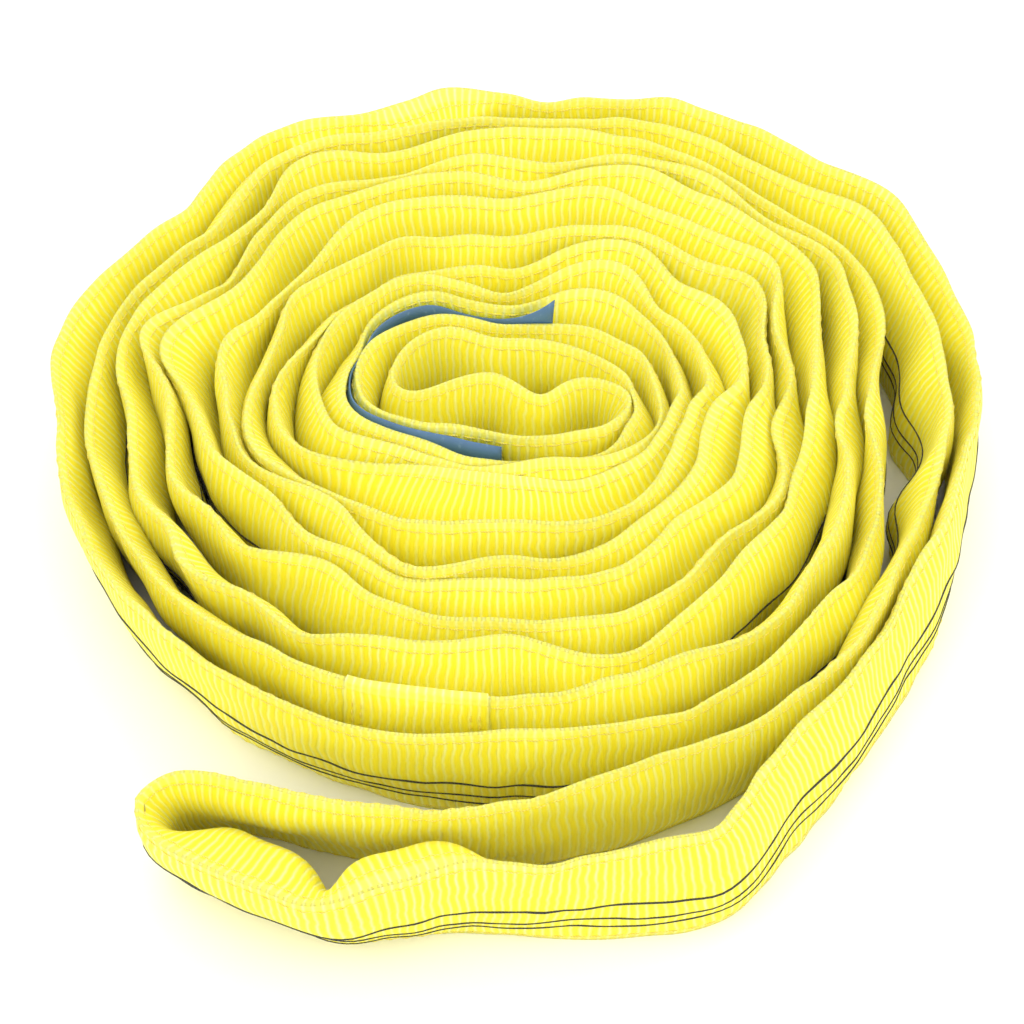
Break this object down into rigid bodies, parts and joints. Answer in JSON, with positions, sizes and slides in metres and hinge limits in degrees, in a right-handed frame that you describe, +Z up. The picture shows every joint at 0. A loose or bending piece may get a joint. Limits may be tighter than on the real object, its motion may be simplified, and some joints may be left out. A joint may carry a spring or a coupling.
{
  "type": "round sling",
  "caption": "Endless polyester round sling, flattened to a double strand on edge, wound into a coil with its lifting eye left free.",
  "frame": {"origin": "centre of the object's box, on the surface that the coil rests on", "axes": "+Z up, the height of the strand standing on edge; the free end points towards -X and lies on the -Y side"},
  "size_m": [0.3374, 0.381, 0.0565],
  "materials": {
    "jacket_weave": "woven polyester, ribbed across",
    "core_yarn": "raw multifilament yarn",
    "marker_thread": "black woven-in thread",
    "seam_thread": "sewing thread",
    "label_tape": "smooth coated tape",
    "label_thread": "sewing thread"
  },
  "bodies": {
    "coil": {"closing_seam_cover": "jacket_weave", "closing_seam_stitches": "seam_thread", "core_bundle_1_coil": "core_yarn", "core_bundle_2_coil": "core_yarn", "core_bundle_3_coil": "core_yarn", "core_bundle_4_coil": "core_yarn", "core_bundle_5_coil": "core_yarn", "core_bundle_6_coil": "core_yarn", "jacket_coil": "jacket_weave", "jacket_outer_leg": "jacket_weave", "label": "label_tape", "label_stitches": "label_thread", "lower_seam_thread_coil": "seam_thread", "marker_threads_coil": "marker_thread", "upper_seam_thread_coil": "seam_thread"},
    "free_end": {"core_bundle_1_free_end": "core_yarn", "core_bundle_2_free_end": "core_yarn", "core_bundle_3_free_end": "core_yarn", "core_bundle_4_free_end": "core_yarn", "core_bundle_5_free_end": "core_yarn", "core_bundle_6_free_end": "core_yarn", "jacket_free_end": "jacket_weave", "lower_seam_thread_free_end": "seam_thread", "marker_threads_free_end": "marker_thread", "upper_seam_thread_free_end": "seam_thread"}
  },
  "joints": [
    {"name": "free_end_swing", "type": "hinge", "parent": "coil", "child": "free_end", "pos_m": [-0.0007, -0.15837, 0.028], "axis": [0, 0, 1], "range_deg": [0, 30]}
  ]
}
